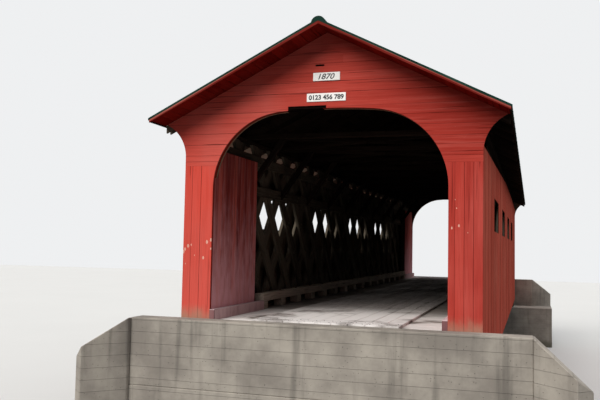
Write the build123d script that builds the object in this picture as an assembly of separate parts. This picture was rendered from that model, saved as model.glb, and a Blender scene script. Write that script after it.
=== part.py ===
from build123d import *
import math
import os

# Covered timber bridge on two concrete abutments, in millimetres.
# +Y runs along the roadway, +X is the right side, +Z is up.
# The origin lies on the ground under the middle of the bridge.

# Main sizes
bridge_length = 24400
bridge_width = 5500
deck_height = 3000

# Boards of the outer skin
board_thickness = 25
siding_hang = 60
siding_head_gap = 150
window_count = 4
window_spacing = 4500
window_shift = -450
window_width = 2300
window_sill = 1750
window_height = 730
nailer_thickness = 50
nailer_height = 100

# Lattice trusses
bed_height = 340
plank_thickness = 75
lattice_plank_width = 270
lattice_bays = 22
lattice_shift = -300
row_height = 675
chord_height = 220
chord_rows = (0, 1, 5, 6)
lattice_head = 240
end_post_width = 175

# Bed timbers under the truss ends
bed_overhang = 45
bed_timber_width = 300
bed_timber_offsets = (300, 1000)

# Floor
floor_beam_width = 110
floor_beam_height = 270
stringer_count = 7
stringer_width = 150
stringer_height = 295
stringer_inset = 250
stringer_end_gap = 75
deck_edge_gap = 50
deck_end_gap = 5
deck_thickness = 75
running_width = 2700
running_thickness = 50

# Curbs, in from the trusses
curb_gap = 75
curb_width = 200
curb_timber_height = 180
curb_block_height = 170
curb_block_length = 300
curb_block_count = 16

# Lining of the portals
jamb_thickness = 50
jamb_over_spring = 210
reveal_length = 2320
reveal_height = 3150
reveal_stud_width = 100
reveal_stud_depth = 175
kick_length = 2680
kick_thickness = 95
kick_height = 200

# Arch and gable of the portals
arch_spring = 2390
haunch_radius = 1410
crown_radius = 9700
rib_depth = 140
flare_drop = 840
flare_radius = 700
trim_drop = 160
lost_strip_length = 720
lost_strip_height = 50
lost_chip_length = 166
lost_chip_height = 35
lost_chip_offset = 48
lost_chip_rise = 765

# Wall plates, tie beams and bracing
wall_plate_height = 60
wall_plate_inset = 50
wall_plate_reach = 100
rafter_plate_width = 100
rafter_plate_height = 98
birdsmouth_depth = 20
tie_width = 200
tie_height = 100
knee_thickness = 100
knee_depth = 120
knee_reach = 775
brace_width = 100
brace_height = 75
brace_lift = 25

# Roof
roof_slope = 0.506
roof_reach = 3215
gable_overhang = 620
rafter_thickness = 50
rafter_depth = 120
roof_board_thickness = 30
sheet_thickness = 12
sheet_drip = 20
seam_pitch = 600
seam_width = 25
seam_height = 25
fascia_thickness = 25
fascia_depth = 45
rake_thickness = 30
rake_depth = 45
rake_joint = 2
cap_half_width = 130
cap_edge = 20
cap_height = 70

# Abutments
back_wall_gap = 30
back_wall_thickness = 420
back_wall_margin = 800
back_wall_drop = 20
stem_reach = 1400
wing_length = 1200
wing_thickness = 350
wing_angle = 45
wing_end_drop = 700

# Levels of the floor and of what carries it, from the top down
deck_surface = deck_height - running_thickness
deck_underside = deck_surface - deck_thickness
floor_beam_top = deck_underside - stringer_height
lower_chord_top = floor_beam_top - floor_beam_height
truss_bottom = lower_chord_top - chord_height
seat_level = truss_bottom - bed_height


def row_level(row):
    """Height of a row of crossings in the lattice, where a chord has its middle."""
    return truss_bottom + chord_height / 2 + row * row_height


# Levels above the floor, from the bottom up
truss_top = row_level(chord_rows[-1]) + chord_height / 2 + lattice_head
truss_height = truss_top - truss_bottom
plate_top = truss_top + wall_plate_height
rafter_seat = plate_top + rafter_plate_height

# Planes across the bridge, from the outside in
siding_face = bridge_width / 2
siding_back = siding_face - board_thickness
chord_face = siding_back - nailer_thickness
lattice_face = chord_face - plank_thickness
lattice_middle = lattice_face - plank_thickness
lattice_back = lattice_middle - plank_thickness
truss_back = lattice_back - plank_thickness
opening_half = truss_back - reveal_stud_depth - board_thickness
deck_half = truss_back - deck_edge_gap
plate_in = lattice_back - wall_plate_inset
plate_out = lattice_face + wall_plate_reach
rafter_plate_in = plate_out - rafter_plate_width
fascia_in = roof_reach - fascia_thickness

# Planes along the bridge
portal_face = bridge_length / 2
portal_back = portal_face - board_thickness
lattice_end = portal_back - end_post_width
roof_end = portal_face + gable_overhang
rake_back = roof_end - rake_thickness
bay = 2 * lattice_end / lattice_bays

# Roof surfaces, as heights above the ground at a distance x from the middle
roof_cosine = 1 / math.sqrt(1 + roof_slope ** 2)
roof_build = (rafter_depth + roof_board_thickness + sheet_thickness) / roof_cosine
plate_middle = plate_out - rafter_plate_width / 2
ridge_level = rafter_seat - birdsmouth_depth + roof_build + roof_slope * plate_middle


def sheet_top(x):
    return ridge_level - roof_slope * x


def board_top(x):
    return sheet_top(x) - sheet_thickness / roof_cosine


def board_under(x):
    return board_top(x) - roof_board_thickness / roof_cosine


def rafter_under(x):
    return board_under(x) - rafter_depth / roof_cosine


def block(x, y, z):
    """A box between the two values of each pair."""
    size = [high - low for low, high in (x, y, z)]
    middle = [(high + low) / 2 for low, high in (x, y, z)]
    return Pos(*middle) * Box(*size)


def across(points, y_low, y_high):
    """A flat shape given by (x, z) points, carried from y_low to y_high."""
    wire = Polyline([(x, 0, z) for x, z in points], close=True)
    return Pos(0, y_high, 0) * extrude(make_face(wire), amount=y_high - y_low, dir=(0, -1, 0))


def across_edges(edges, y_low, y_high):
    """A flat shape given by edges in the XZ plane, carried from y_low to y_high."""
    return Pos(0, y_high, 0) * extrude(make_face(edges), amount=y_high - y_low, dir=(0, -1, 0))


def other_side(shapes):
    return [shape.mirror(Plane.YZ) for shape in shapes]


def other_end(shapes):
    return [shape.mirror(Plane.XZ) for shape in shapes]


pieces = {}


def add(name, shapes):
    solids = []
    for shape in shapes:
        solids += list(shape.solids())
    pieces[name] = solids


def both_sides(shapes):
    return shapes + other_side(shapes)


def both_ends(shapes):
    return shapes + other_end(shapes)


def add_sides(name, shapes):
    """A node for each long side of the bridge."""
    add("right_" + name, shapes)
    add("left_" + name, other_side(shapes))


def add_ends(name, shapes):
    """A node for each end of the bridge."""
    add("far_" + name, shapes)
    add("near_" + name, other_end(shapes))


# Abutments: a stem with the bearing seat, a back wall behind it and two flared wings
wall_face = portal_face + back_wall_gap
wall_back = wall_face + back_wall_thickness
wall_top = deck_height - back_wall_drop
wall_half = siding_face + back_wall_margin
wing_turn = math.radians(wing_angle)
stem_half = wall_half + wing_length * math.cos(wing_turn)
stem = block((-stem_half, stem_half), (wall_face - stem_reach, wall_back), (0, seat_level))
back_wall = block((-wall_half, wall_half), (wall_face, wall_back), (seat_level, wall_top))


def wing():
    """A wall that flares back from the end of the back wall, with a sloping top."""
    along = (math.cos(wing_turn), math.sin(wing_turn))
    root = (wall_half, wall_face)
    tip = (root[0] + wing_length * along[0], root[1] + wing_length * along[1])
    back_tip = (tip[0] - wing_thickness * along[1], tip[1] + wing_thickness * along[0])
    back_root = (wall_half, back_tip[1] - (back_tip[0] - wall_half) * math.tan(wing_turn))
    plan = Polyline([root, tip, back_tip, back_root], close=True)
    body = extrude(make_face(plan), amount=wall_top)
    profile = [
        (wall_half, 0),
        (tip[0], 0),
        (tip[0], wall_top - wing_end_drop),
        (wall_half, wall_top),
    ]
    return (body & across(profile, wall_face, back_tip[1])) - stem


add("abutment_stems", both_ends([stem]))
add("back_walls", both_ends([back_wall]))
add("wing_walls", both_ends(both_sides([wing()])))


# Bed timbers on the seats, under the ends of the trusses
def bed_timbers():
    timbers = []
    for offset in bed_timber_offsets:
        middle = portal_back - offset
        timbers.append(
            block(
                (truss_back - bed_overhang, chord_face + bed_overhang),
                (middle - bed_timber_width / 2, middle + bed_timber_width / 2),
                (seat_level, truss_bottom),
            )
        )
    return timbers


add("bed_timbers", both_ends(both_sides(bed_timbers())))


# Lattice: two layers of slanting planks, fused where they cross
def lattice_layer(x_low, x_high, way):
    """Parallel planks that rise towards +Y where way is 1 and towards -Y where it is -1.

    A scrap lower than a plank is wide, left at a corner, is left out.
    """
    steepness = 2 * row_height / bay
    slant = math.atan(steepness)
    run = truss_height / steepness
    extra_bays = math.ceil(run / bay)
    length = truss_height / math.sin(slant) + 2 * lattice_plank_width
    window = block((x_low, x_high), (-lattice_end, lattice_end), (truss_bottom, truss_top))
    middle_level = (truss_bottom + truss_top) / 2
    shift = (middle_level - row_level(0)) / steepness
    planks = []
    for number in range(-extra_bays, lattice_bays + extra_bays + 1):
        y = -lattice_end + lattice_shift + number * bay + way * shift
        if abs(y) > lattice_end + run / 2 + bay:
            continue
        bar = Box(x_high - x_low, length, lattice_plank_width)
        bar = Pos((x_low + x_high) / 2, y, middle_level) * Rot(way * math.degrees(slant), 0, 0) * bar
        for plank in (bar & window).solids():
            if plank.bounding_box().size.Z > lattice_plank_width:
                planks.append(plank)
    return planks


def lattice():
    outer = lattice_layer(lattice_middle, lattice_face, 1)
    inner = lattice_layer(lattice_back, lattice_middle, -1)
    return outer[0].fuse(*outer[1:], *inner)


add_sides("lattice", [lattice()])
end_post = block((lattice_back, lattice_face), (lattice_end, portal_back), (truss_bottom, truss_top))
add("end_posts", both_ends(both_sides([end_post])))

# Chords: a pair of planks, one on each face of the lattice, at four of its rows of crossings
def chord_pairs(rows):
    planks = []
    for row in rows:
        levels = (row_level(row) - chord_height / 2, row_level(row) + chord_height / 2)
        for x in ((lattice_face, chord_face), (truss_back, lattice_back)):
            planks.append(block(x, (-portal_back, portal_back), levels))
    return planks


add_sides("lower_chords", chord_pairs(chord_rows[:2]))
add_sides("upper_chords", chord_pairs(chord_rows[2:]))

# Nailing strips on the outer chords, and the boarded sides with their windows
nailers = []
for row in chord_rows:
    levels = (row_level(row) - nailer_height / 2, row_level(row) + nailer_height / 2)
    nailers.append(block((chord_face, siding_back), (-portal_back, portal_back), levels))
add("nailers", both_sides(nailers))

siding = block(
    (siding_back, siding_face),
    (-portal_back, portal_back),
    (truss_bottom - siding_hang, truss_top - siding_head_gap),
)
for number in range(window_count):
    middle = window_shift + (number - (window_count - 1) / 2) * window_spacing
    siding -= block(
        (siding_back - board_thickness, siding_face + board_thickness),
        (middle - window_width / 2, middle + window_width / 2),
        (deck_height + window_sill, deck_height + window_sill + window_height),
    )
add_sides("siding", [siding])

# Floor: beams through the lattice, stringers along it, deck planks across, running planks on top
floor_beams = []
for number in range(lattice_bays):
    middle = -lattice_end + lattice_shift + (number + 0.5) * bay
    floor_beams.append(
        block(
            (-chord_face, chord_face),
            (middle - floor_beam_width / 2, middle + floor_beam_width / 2),
            (lower_chord_top, floor_beam_top),
        )
    )
add("floor_beams", floor_beams)

stringers = []
for number in range(stringer_count):
    middle = (2 * number / (stringer_count - 1) - 1) * (deck_half - stringer_inset)
    stringers.append(
        block(
            (middle - stringer_width / 2, middle + stringer_width / 2),
            (-portal_back + stringer_end_gap, portal_back - stringer_end_gap),
            (floor_beam_top, deck_underside),
        )
    )
add("stringers", stringers)

deck_end = portal_back - deck_end_gap
add("deck", [block((-deck_half, deck_half), (-deck_end, deck_end), (deck_underside, deck_surface))])
add(
    "running_planks",
    [block((-running_width / 2, running_width / 2), (-deck_end, deck_end), (deck_surface, deck_height))],
)


# Curb: a timber held off the deck by blocks
def curb():
    outer = truss_back - curb_gap
    inner = outer - curb_width
    half = portal_face - kick_length
    block_top = deck_surface + curb_block_height
    shape = block((inner, outer), (-half, half), (block_top, block_top + curb_timber_height))
    for number in range(curb_block_count):
        reach = half - curb_block_length / 2
        middle = -reach + 2 * reach * number / (curb_block_count - 1)
        shape += block(
            (inner, outer),
            (middle - curb_block_length / 2, middle + curb_block_length / 2),
            (deck_surface, block_top),
        )
    return shape


add_sides("curb", [curb()])

# Portal lining: jamb posts, boarded reveals on studs, and a kick timber along the foot
arch_base = deck_height + arch_spring
jamb_top = arch_base + jamb_over_spring
jamb = block(
    (opening_half, truss_back),
    (portal_back - jamb_thickness, portal_back),
    (deck_surface, jamb_top),
)
reveal_end = portal_face - reveal_length
reveal = block(
    (opening_half, opening_half + board_thickness),
    (reveal_end, portal_back - jamb_thickness),
    (deck_surface, deck_height + reveal_height),
)
reveal_middle = portal_face - reveal_length / 2
reveal_studs = [
    block((opening_half + board_thickness, truss_back), y, (deck_surface, deck_height + reveal_height))
    for y in (
        (reveal_end, reveal_end + reveal_stud_width),
        (reveal_middle - reveal_stud_width / 2, reveal_middle + reveal_stud_width / 2),
    )
]
kick = block(
    (opening_half - kick_thickness, opening_half),
    (portal_face - kick_length, portal_face),
    (deck_surface, deck_surface + kick_height),
)
add("jamb_posts", both_ends(both_sides([jamb])))
add("reveal_boards", both_ends(both_sides([reveal])))
add("reveal_studs", both_ends(both_sides(reveal_studs)))
add("kick_timbers", both_ends(both_sides([kick])))

# Portal arch of three tangent arcs: two haunches and a flat crown
haunch_x = opening_half - haunch_radius
crown_drop = math.sqrt((crown_radius - haunch_radius) ** 2 - haunch_x ** 2)
crown_centre = arch_base - crown_drop
haunch_turn = math.atan2(crown_drop, haunch_x)
flare_base = board_under(siding_face) - flare_drop
skin_foot = truss_bottom - siding_hang


def arch_opening(grow, foot, y_low, y_high):
    """The space under the arch, with its curve moved outwards by grow."""
    half = opening_half + grow
    small = haunch_radius + grow
    large = crown_radius + grow

    def haunch_point(turn, side):
        return (side * (haunch_x + small * math.cos(turn)), 0, arch_base + small * math.sin(turn))

    crown = (0, 0, crown_centre + large)
    left = ThreePointArc(
        (-half, 0, arch_base), haunch_point(haunch_turn / 2, -1), haunch_point(haunch_turn, -1)
    )
    middle = ThreePointArc(haunch_point(haunch_turn, -1), crown, haunch_point(haunch_turn, 1))
    right = ThreePointArc(
        haunch_point(haunch_turn, 1), haunch_point(haunch_turn / 2, 1), (half, 0, arch_base)
    )
    legs = Polyline([(half, 0, arch_base), (half, 0, foot), (-half, 0, foot), (-half, 0, arch_base)])
    return across_edges([left, middle, right] + list(legs.edges()), y_low, y_high)


def portal_front():
    """Outline of the boarded portal: straight legs, flared shoulders and the two roof slopes."""
    flare_x = siding_face + flare_radius
    lean = math.atan(roof_slope)
    rise = (board_under(flare_x) - flare_base) / flare_radius
    flare_turn = lean + math.asin(rise * roof_cosine)

    def flare_point(turn, side):
        x = side * (flare_x - flare_radius * math.cos(turn))
        return (x, 0, flare_base + flare_radius * math.sin(turn))

    right = ThreePointArc(flare_point(0, 1), flare_point(flare_turn / 2, 1), flare_point(flare_turn, 1))
    left = ThreePointArc(flare_point(flare_turn, -1), flare_point(flare_turn / 2, -1), flare_point(0, -1))
    top = Polyline([flare_point(flare_turn, 1), (0, 0, board_under(0)), flare_point(flare_turn, -1)])
    corners = [(-siding_face, 0, skin_foot), (siding_face, 0, skin_foot)]
    legs = Polyline([flare_point(0, -1)] + corners + [flare_point(0, 1)])
    edges = [right, left] + list(top.edges()) + list(legs.edges())
    shape = across_edges(edges, portal_back, portal_face)
    return shape - arch_opening(0, 0, portal_back, portal_face)


front = portal_front()
trim = flare_base - trim_drop
wide = (-roof_reach, roof_reach)
front_depth = (portal_back, portal_face)
gable = front & block(wide, front_depth, (trim, ridge_level))
legs = front & block(wide, front_depth, (0, trim))
crown_level = crown_centre + crown_radius
lost_strip = block(
    (-lost_strip_length, 0),
    (-portal_face, -portal_back),
    (trim, crown_level + lost_strip_height),
)
lost_chip = block(
    (-lost_chip_offset - lost_chip_length, -lost_chip_offset),
    (-portal_face, -portal_back),
    (crown_level + lost_chip_rise, crown_level + lost_chip_rise + lost_chip_height),
)
add("far_gable", [gable])
add("near_gable", [gable.mirror(Plane.XZ) - lost_strip - lost_chip])
add_ends("leg_boards", [legs])

rib_depths = (portal_back - jamb_thickness, portal_back)
rib = arch_opening(rib_depth, deck_height, *rib_depths) - arch_opening(0, deck_height, *rib_depths)
rib = rib & block(wide, rib_depths, (jamb_top, ridge_level))
add_ends("arch_rib", [rib])

# Wall plates on the trusses, with rafter plates on their outer edges
plate_run = (-portal_back, portal_back)
wall_plate = block((plate_in, plate_out), plate_run, (truss_top, plate_top))
rafter_plate = block((rafter_plate_in, plate_out), plate_run, (plate_top, rafter_seat))
add("wall_plates", both_sides([wall_plate]))
add("rafter_plates", both_sides([rafter_plate]))

# Tie beams at every second bay, with knee braces down to the second upper chord
tie_places = [-lattice_end + 2 * bay * number for number in range(1, lattice_bays // 2)]
tie_levels = (plate_top, plate_top + tie_height)
ties = [
    block((-rafter_plate_in, rafter_plate_in), (y - tie_width / 2, y + tie_width / 2), tie_levels)
    for y in tie_places
]
add("tie_beams", ties)


def knee_brace(y):
    """A brace with a plumb cut at the chord and a level cut under the tie beam."""
    foot = row_level(chord_rows[2])
    knee_rise = plate_top - foot
    plumb = knee_depth * math.hypot(knee_reach, knee_rise) / knee_reach
    low = foot - plumb / 2
    high = foot + plumb / 2
    run_per_rise = knee_reach / knee_rise
    outline = [
        (truss_back, low),
        (truss_back, high),
        (truss_back - (plate_top - high) * run_per_rise, plate_top),
        (truss_back - (plate_top - low) * run_per_rise, plate_top),
    ]
    return across(outline, y - knee_thickness / 2, y + knee_thickness / 2)


add("knee_braces", both_sides([knee_brace(y) for y in tie_places]))


# Flat bracing between the tie beams: a through brace in each bay, crossed by two half braces
def tie_brace(y_low, y_high, way):
    width = 2 * plate_in
    length = math.hypot(width, y_high - y_low) + 2 * brace_width
    turn = math.degrees(math.atan2(y_high - y_low, width))
    bottom = plate_top + brace_lift
    bar = Pos(0, (y_low + y_high) / 2, bottom + brace_height / 2)
    bar = bar * Rot(0, 0, way * turn) * Box(length, brace_width, brace_height)
    room = block((-rafter_plate_in, rafter_plate_in), (y_low, y_high), (bottom, bottom + brace_height))
    return bar & room


through_braces = []
half_braces = []
for low, high in zip(tie_places[:-1], tie_places[1:]):
    clear = (low + tie_width / 2, high - tie_width / 2)
    through = tie_brace(*clear, 1)
    through_braces.append(through)
    half_braces.append(tie_brace(*clear, -1) - through)
add("through_braces", through_braces)
add("half_braces", half_braces)


# Rafters at every bay and behind each gable, cut to seat on the rafter plate
def rafter(y):
    outline = [
        (0, board_under(0)),
        (fascia_in, board_under(fascia_in)),
        (fascia_in, rafter_under(fascia_in)),
        (0, rafter_under(0)),
    ]
    y_low = y - rafter_thickness / 2
    y_high = y + rafter_thickness / 2
    seat = block((rafter_plate_in, plate_out), (y_low, y_high), (plate_top, rafter_seat))
    return across(outline, y_low, y_high) - seat


gable_rafter = portal_back - rafter_thickness / 2
rafter_places = [-lattice_end + bay * number for number in range(lattice_bays + 1)]
rafter_places += [-gable_rafter, gable_rafter]
add_sides("rafters", [rafter(y) for y in rafter_places])


# Roof: boards edged by eave and rake boards, seamed metal sheets and a ridge cap
def slope_slab(upper, lower, reach, half_length):
    outline = [(0, upper(0)), (reach, upper(reach)), (reach, lower(reach)), (0, lower(0))]
    return across(outline, -half_length, half_length)


def roof_sheet():
    reach = roof_reach + sheet_drip
    half = roof_end
    sheet = slope_slab(sheet_top, board_top, reach, half)
    lift = seam_height / roof_cosine
    outline = [
        (cap_half_width, board_top(cap_half_width)),
        (cap_half_width, sheet_top(cap_half_width) + lift),
        (reach, sheet_top(reach) + lift),
        (reach, board_top(reach)),
    ]
    seam_count = round((2 * half - seam_width) / seam_pitch) + 1
    step = (2 * half - seam_width) / (seam_count - 1)
    seams = []
    for number in range(seam_count):
        y = -half + number * step
        seams.append(across(outline, y, y + seam_width).solid())
    return sheet.solid().fuse(*seams)


add_sides("roof_boards", [slope_slab(board_top, board_under, fascia_in, rake_back)])
add_sides("roof_sheet", [roof_sheet()])

cap_foot = sheet_top(cap_half_width)
cap_lines = Polyline(
    [
        (cap_half_width, 0, cap_foot + cap_edge),
        (cap_half_width, 0, cap_foot),
        (0, 0, ridge_level),
        (-cap_half_width, 0, cap_foot),
        (-cap_half_width, 0, cap_foot + cap_edge),
    ]
)
cap_curve = ThreePointArc(
    (-cap_half_width, 0, cap_foot + cap_edge),
    (0, 0, ridge_level + cap_height),
    (cap_half_width, 0, cap_foot + cap_edge),
)
add("ridge_cap", [across_edges(list(cap_lines.edges()) + [cap_curve], -roof_end, roof_end)])

fascia_foot = board_top(roof_reach) - fascia_depth
fascia_outline = [
    (fascia_in, board_top(fascia_in)),
    (roof_reach, board_top(roof_reach)),
    (roof_reach, fascia_foot),
    (fascia_in, fascia_foot),
]
add("eave_boards", both_sides([across(fascia_outline, -rake_back, rake_back)]))


def rake_under(x):
    return board_top(x) - rake_depth / roof_cosine


rake_in = rake_joint / 2
rake_outline = [
    (rake_in, board_top(rake_in)),
    (roof_reach, board_top(roof_reach)),
    (roof_reach, rake_under(roof_reach)),
    (rake_in, rake_under(rake_in)),
]
add("rake_boards", both_ends(both_sides([across(rake_outline, rake_back, roof_end)])))

os.makedirs("parts", exist_ok=True)
for name, solids in pieces.items():
    export_step(Compound(solids), f"parts/{name}.step")
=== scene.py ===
import bmesh
import bpy
import math
import random
from mathutils import Matrix, Vector

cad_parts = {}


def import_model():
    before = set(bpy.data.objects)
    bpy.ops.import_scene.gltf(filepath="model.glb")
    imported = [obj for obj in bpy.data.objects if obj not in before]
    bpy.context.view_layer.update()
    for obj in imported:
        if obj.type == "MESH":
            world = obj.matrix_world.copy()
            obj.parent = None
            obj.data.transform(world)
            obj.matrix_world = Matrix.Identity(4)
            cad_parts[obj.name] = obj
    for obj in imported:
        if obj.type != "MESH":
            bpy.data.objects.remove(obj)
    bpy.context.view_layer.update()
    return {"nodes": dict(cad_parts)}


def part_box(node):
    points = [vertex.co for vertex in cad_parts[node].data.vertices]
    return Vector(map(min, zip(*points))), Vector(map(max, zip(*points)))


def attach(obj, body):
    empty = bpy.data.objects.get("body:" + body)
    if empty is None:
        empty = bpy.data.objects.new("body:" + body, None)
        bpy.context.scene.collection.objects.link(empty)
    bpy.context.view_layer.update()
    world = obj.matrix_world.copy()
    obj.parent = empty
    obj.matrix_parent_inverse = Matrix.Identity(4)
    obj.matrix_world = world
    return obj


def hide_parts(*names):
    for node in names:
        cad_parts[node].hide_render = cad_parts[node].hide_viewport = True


# Looks for a covered timber bridge with red boarded portals. All lengths are metres.
# +Y runs along the roadway, +X is the right side, +Z is up.
# Most CAD nodes are plain slabs or square timbers. Each is copied, sawn into boards where it is
# a slab, eased along its arrises and given board-local grain. The copies keep within millimetres
# of their nodes, apart from the heads of the side boards, which fall towards the portals, and the
# ribs of the arches, which are deeper.

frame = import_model()
nodes = frame["nodes"]
chance = random.Random(20)

ALONG = Vector((0, 1, 0))
RIGHT = Vector((1, 0, 0))
UP = Vector((0, 0, 1))


def low(node, axis):
    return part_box(node)[0]["xyz".index(axis)]


def high(node, axis):
    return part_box(node)[1]["xyz".index(axis)]


# Boards and gaps
siding_board = 0.19
reveal_board = 0.19
deck_plank = 0.25
running_plank = 0.30
running_length = 4.6
roof_board = 0.20
seam_pitch = 0.6
rake_strip = 0.028
kick_line = 0.015
kick_cap = 0.02
block_height = 0.17
timber_length = 6.1
board_length = 4.9
gable_length = 3.6
plain_gap = (0.002, 0.005)
hair_gap = (0.0002, 0.0008)
layer_gap = (0.001, 0.001)
deck_gap = (0.006, 0.012)
no_gap = (0.0, 0.0)

# How far the arrises of each kind of timber are eased
trim_arris = 0.002
board_arris = 0.003
frame_arris = 0.004
plank_arris = 0.006
timber_arris = 0.008
curb_arris = 0.012
concrete_arris = 0.015

# How unevenly boards lie: out of their plane, and at the feet of the side boards
board_lift = 0.002
course_lift = 0.001
ragged_foot = 0.02

# Half the height of the dirty strip at a level joint, how near a joint a face counts as dirty, the
# least and most dirt in a joint of the sides and the lining, and how deep the outer paint goes
joint_line = 0.004
joint_reach = 0.015
siding_dirt = (0.1, 0.9)
reveal_dirt = (0.1, 0.6)
paint_depth = 0.015

# Distances within which vertices are welded, lie in a cut, or lie in a face, and angles between
# faces that count as flat and as sharp
weld = 0.00005
in_cut = 1e-6
in_face = 0.001
flat_angle = 0.002
sharp_angle = 0.5

# A face looks along a direction if its normal goes further that way than this
squarely = 0.5

# Levels, planes and slopes that several pieces share, read from the frame
deck_top = high("running_planks", "z")
portal = abs(low("near_leg_boards", "y"))
lattice_end = abs(low("left_lattice", "y"))
lattice_middle = (low("right_lattice", "x") + high("right_lattice", "x")) / 2
truss_inside = low("right_upper_chords", "x")
lattice_inside = low("right_lattice", "x")
truss_foot = low("right_lattice", "z")
roof_lean = math.atan2(
    high("right_roof_boards", "z") - low("right_roof_boards", "z"),
    high("right_roof_boards", "x") - low("right_roof_boards", "x"),
)

# Crossings of the lattice: bays along it, rows from the lowest chord up, and the rows with chords
bays = 22
bay = 2 * lattice_end / bays
rows_up = 7
row_height = 0.675
lattice_shift = -0.3
chord_half = (high("right_lower_chords", "z") - truss_foot - row_height) / 2
chord_rows = (0, 1, 5, 6)

# Joints of the portals: place or height of each, and how dark the dirt in it is
leg_seams = ((-2.595, 0.15), (-2.415, 0.45), (2.285, 0.08), (2.44, 0.4), (2.595, 0.4))
left_courses = ((6.010, 0.5), (6.215, 1.0), (6.420, 0.5), (6.610, 0.2), (6.798, 0.6))
right_courses = ((5.940, 0.7), (6.138, 0.3), (6.290, 0.9), (6.490, 0.3), (6.679, 0.5), (6.860, 0.2))
upper_courses = (
    (6.957, 0.6), (7.122, 1.0), (7.316, 0.6), (7.490, 0.2), (7.650, 0.4), (7.830, 0.2), (8.0, 0.1)
)
haunch_joint = 0.02

# Heads of the side boards, which fall from these places towards the portals
near_fall = 0.35
near_fall_start = -1.0
far_fall = 0.12
far_fall_start = 6.0

# Where the eaves begin: chords get painted shade outside above the level, and roof boards past the
# distance from the middle are in the wood of their eave, painted light on the left and painted shade
# on the right
shaded_level = 6.0
eave_start = 2.8

# Ribs of the arches: how much deeper than their nodes, how deep the paint goes, and where the near
# rib is near black, painted shade, because the strip of board over it is lost
rib_reach = 0.10
rib_painted = 0.09
lost_strip = -0.72

# Small round things: radius and height of each kind, how deep they sit, how they taper, their tone
peg = (0.022, 0.024)
spike = (0.013, 0.009)
bolt = (0.03, 0.018)
bolts_in_row = 16
head_seat = 0.004
taper = 0.8
head_tone = 0.8

# Strength of the sky at the horizon and overhead, its tint, and the tint of the backdrop
sky_low = 0.05
sky_high = 0.6
sky_tint = (0.94, 0.97, 1.0, 1)
backdrop_tint = (0.86, 0.87, 0.88, 1)

# The photograph's camera: place, degrees of turn, lift and roll, lens, width of the film, and how
# far it sees
camera_place = (3.52, -24.85, 4.33)
camera_angles = (17.46, 3.65, 1.10)
camera_lens = 44.27
film_width = 36
camera_reach = 300


# Sawing the CAD shapes
def solid(node):
    """The mesh of a CAD node, welded at its edges and with each flat face in one."""
    shape = bmesh.new()
    shape.from_mesh(nodes[node].data)
    bmesh.ops.remove_doubles(shape, verts=shape.verts, dist=weld)
    bmesh.ops.dissolve_limit(shape, angle_limit=flat_angle, verts=shape.verts, edges=shape.edges)
    return shape


def side_of(shape, normal, place, way):
    """What is left of a shape on one side of a plane square to the normal, closed at the cut."""
    part = shape.copy()
    geometry = part.verts[:] + part.edges[:] + part.faces[:]
    bmesh.ops.bisect_plane(
        part, geom=geometry, dist=in_cut, plane_co=normal * place, plane_no=normal * way, clear_outer=True
    )
    edges = [edge for edge in part.edges if edge.is_boundary]
    bmesh.ops.holes_fill(part, edges=edges, sides=0)
    return part


def split(shapes, normal, cuts, gap=plain_gap):
    """Saws shapes across the normal at each cut, with a gap of random width there."""
    parts = []
    for shape in shapes:
        for cut in cuts:
            half_gap = chance.uniform(*gap) / 2
            below = side_of(shape, normal, cut - half_gap, 1)
            shape = side_of(shape, normal, cut + half_gap, -1)
            if below.verts:
                parts.append(below)
            if not shape.verts:
                break
        if shape.verts:
            parts.append(shape)
    return parts


def even_cuts(start, end, pitch, spread=0.05):
    """Places of the joints between boards of about one width that fill a run."""
    count = max(1, round((end - start) / pitch))
    step = (end - start) / count
    return [start + step * (number + chance.uniform(-spread, spread)) for number in range(1, count)]


def staggered(shapes, normal, start, end, length, gap=plain_gap):
    """Butt joints at different places in each of the shapes."""
    parts = []
    for number, shape in enumerate(shapes):
        share = 0.45 if number % 2 else 0.95
        first = start + length * share + chance.uniform(-0.3, 0.3) * length * 0.5
        cuts = []
        while first < end - length * 0.25:
            cuts.append(first)
            first += length
        parts += split([shape], normal, cuts, gap)
    return parts


def islands(shape):
    """The separate boards of a shape, each as a list of vertices."""
    left = set(shape.verts)
    found = []
    for seed in shape.verts:
        if seed not in left:
            continue
        left.discard(seed)
        group = [seed]
        for vertex in group:
            for edge in vertex.link_edges:
                other = edge.other_vert(vertex)
                if other in left:
                    left.discard(other)
                    group.append(other)
        found.append(group)
    return found


def longest_way(group):
    """Direction of the longest edge of a board, which is the way its grain runs.

    The edges stay in order, so that one of several equal ones is the same in each run.
    """
    edges = [edge for vertex in group for edge in vertex.link_edges]
    longest = max(edges, key=lambda edge: edge.calc_length())
    return (longest.verts[1].co - longest.verts[0].co).normalized()


def joined(shapes):
    """All the shapes in one mesh."""
    whole = bmesh.new()
    for shape in shapes:
        mesh = bpy.data.meshes.new("part")
        shape.to_mesh(mesh)
        whole.from_mesh(mesh)
        bpy.data.meshes.remove(mesh)
    return whole


def piece(name, shape, look, replaced=()):
    """An object of the finished shape that rides with the bridge."""
    mesh = bpy.data.meshes.new(name)
    shape.to_mesh(mesh)
    mesh.materials.append(look)
    made = bpy.data.objects.new(name, mesh)
    bpy.context.collection.objects.link(made)
    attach(made, "root")
    if replaced:
        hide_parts(*replaced)
    return made


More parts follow.
